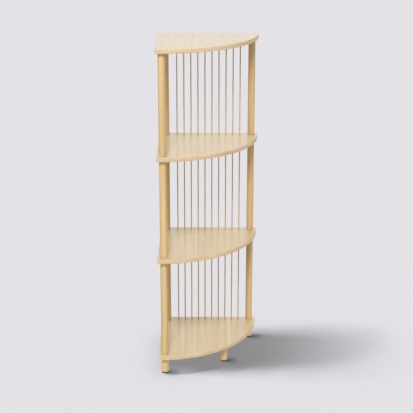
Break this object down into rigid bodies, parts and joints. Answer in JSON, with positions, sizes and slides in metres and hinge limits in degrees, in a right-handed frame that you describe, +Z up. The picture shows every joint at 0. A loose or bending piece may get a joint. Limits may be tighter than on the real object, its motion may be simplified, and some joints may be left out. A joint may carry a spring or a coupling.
{
  "type": "corner shelf unit",
  "caption": "Free-standing corner shelf unit: quarter-round boards on round wooden posts and short feet, with a row of taut twisted ropes across the back.",
  "frame": {"origin": "on the floor, in the middle of the 360 mm square that the boards fill in plan", "axes": "+Z up; +Y to the wall behind the ropes; -X to the wall on the left; the round front faces +X -Y, so the wall corner is at -X +Y"},
  "size_m": [0.36, 0.36, 1.1875],
  "materials": {
    "veneered_board": "pale oak veneer, satin lacquer, grain from back to front",
    "edge_band": "honey oak edge band, satin",
    "round_wood": "honey coloured round bar, satin lacquer, grain along the bar",
    "twisted_rope": "twisted plant fibre rope, matt",
    "zinc_plated_steel": "zinc plated",
    "felt_glide": "dark, matt"
  },
  "bodies": {
    "root": {"foot_corner": "round_wood", "foot_left": "round_wood", "foot_middle": "round_wood", "foot_middle_insert": "zinc_plated_steel", "foot_middle_stud": "zinc_plated_steel", "foot_right": "round_wood", "glide_corner": "felt_glide", "glide_left": "felt_glide", "glide_middle": "felt_glide", "glide_right": "felt_glide", "rope_01": "twisted_rope", "rope_02": "twisted_rope", "rope_03": "twisted_rope", "rope_04": "twisted_rope", "rope_05": "twisted_rope", "rope_06": "twisted_rope", "rope_07": "twisted_rope", "rope_08": "twisted_rope", "rope_09": "twisted_rope", "rope_10": "twisted_rope", "shelf_1_back_band": "edge_band", "shelf_1_board": "veneered_board", "shelf_1_corner_stud": "zinc_plated_steel", "shelf_1_front_band": "edge_band", "shelf_1_left_stud": "zinc_plated_steel", "shelf_1_right_stud": "zinc_plated_steel", "shelf_1_side_band": "edge_band", "shelf_2_back_band": "edge_band", "shelf_2_board": "veneered_board", "shelf_2_corner_stud": "zinc_plated_steel", "shelf_2_front_band": "edge_band", "shelf_2_left_stud": "zinc_plated_steel", "shelf_2_right_stud": "zinc_plated_steel", "shelf_2_side_band": "edge_band", "shelf_3_back_band": "edge_band", "shelf_3_board": "veneered_board", "shelf_3_corner_stud": "zinc_plated_steel", "shelf_3_front_band": "edge_band", "shelf_3_left_stud": "zinc_plated_steel", "shelf_3_right_stud": "zinc_plated_steel", "shelf_3_side_band": "edge_band", "shelf_4_back_band": "edge_band", "shelf_4_board": "veneered_board", "shelf_4_corner_insert": "zinc_plated_steel", "shelf_4_corner_stud": "zinc_plated_steel", "shelf_4_front_band": "edge_band", "shelf_4_left_insert": "zinc_plated_steel", "shelf_4_left_stud": "zinc_plated_steel", "shelf_4_right_insert": "zinc_plated_steel", "shelf_4_right_stud": "zinc_plated_steel", "shelf_4_side_band": "edge_band", "tier_1_corner_post": "round_wood", "tier_1_left_post": "round_wood", "tier_1_right_post": "round_wood", "tier_2_corner_post": "round_wood", "tier_2_left_post": "round_wood", "tier_2_right_post": "round_wood", "tier_3_corner_post": "round_wood", "tier_3_left_post": "round_wood", "tier_3_right_post": "round_wood"}
  },
  "joints": []
}
